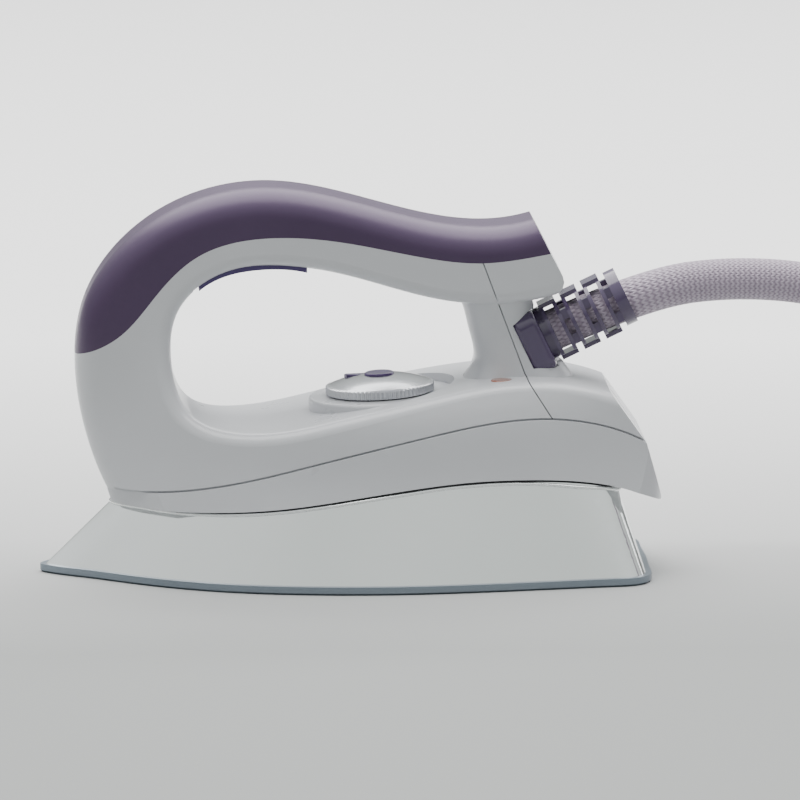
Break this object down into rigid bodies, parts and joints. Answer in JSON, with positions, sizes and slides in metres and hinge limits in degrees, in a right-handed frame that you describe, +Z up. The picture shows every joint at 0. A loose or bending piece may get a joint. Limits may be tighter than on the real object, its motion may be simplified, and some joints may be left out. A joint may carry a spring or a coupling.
{
  "type": "steam station iron",
  "caption": "Clothes iron with an open handle loop, chromed skirt, temperature dial, steam trigger and a braided steam hose ending in a plug.",
  "frame": {"origin": "middle of the iron's footprint on the floor, without its hose", "axes": "+Z up, nose towards -X, hose leaves towards +X"},
  "size_m": [0.5526, 0.2045, 0.1489],
  "materials": {
    "sole_metal": "satin",
    "cast_aluminium": "rough",
    "chrome_skirt": "polished",
    "white_plastic": "satin",
    "violet_cover": "satin",
    "violet_plastic": "satin",
    "relief_plastic": "gloss",
    "clear_dial": "gloss",
    "amber_lens": "gloss",
    "steel": "satin",
    "dark_plastic": "matte",
    "ceramic": "matte",
    "silicone": "matte",
    "brass": "satin",
    "braided_textile": "woven",
    "lamp_glass": "gloss"
  },
  "bodies": {
    "iron": {"soleplate": "sole_metal", "heater_casting": "cast_aluminium", "heating_element": "steel", "chamber_cover": "cast_aluminium", "spacers": "ceramic", "spacer_screws": "steel", "skirt": "chrome_skirt", "skirt_seal": "silicone", "lower_housing": "white_plastic", "upper_housing": "white_plastic", "rear_cover": "white_plastic", "handle_cover": "violet_cover", "trigger_pin": "steel", "trigger_spring": "steel", "microswitch": "dark_plastic", "switch_bracket": "dark_plastic", "thermostat": "steel", "indicator_lens": "amber_lens", "neon_lamp": "lamp_glass", "strain_relief": "relief_plastic", "cord_clamp": "dark_plastic", "terminal_block": "dark_plastic", "terminal_screws": "brass", "steam_inlet": "brass", "steam_tube": "silicone", "thermal_fuse": "steel", "hose": "braided_textile", "hose_coil": "braided_textile", "hose_plug": "dark_plastic", "plug_pins": "brass", "plug_nipple": "brass", "coil_tie": "dark_plastic"},
    "dial": {"dial_spindle": "brass", "dial_knob": "clear_dial", "dial_pointer": "violet_plastic"},
    "trigger": {"steam_trigger": "violet_plastic"},
    "button": {"switch_button": "dark_plastic"}
  },
  "joints": [
    {"name": "dial_turn", "type": "hinge", "parent": "iron", "child": "dial", "pos_m": [0.0115, 0, 0.068], "axis": [-0.0523, 0, 0.9986], "range_deg": [-150, 150]},
    {"name": "trigger_press", "type": "hinge", "parent": "iron", "child": "trigger", "pos_m": [-0.012, 0, 0.1275], "axis": [0, 1, 0], "range_deg": [0, 4], "stiffness_Nm_per_rad": 0.58, "springref_deg": -5.73, "deforming": ["trigger_spring"]},
    {"name": "button_slide", "type": "slide", "parent": "iron", "child": "button", "axis": [0, 0, 1], "range_m": [0, 0.0017]}
  ],
  "couplings": [
    {"joint": "button_slide", "follows": "trigger_press", "m_per_rad": 0.024}
  ]
}
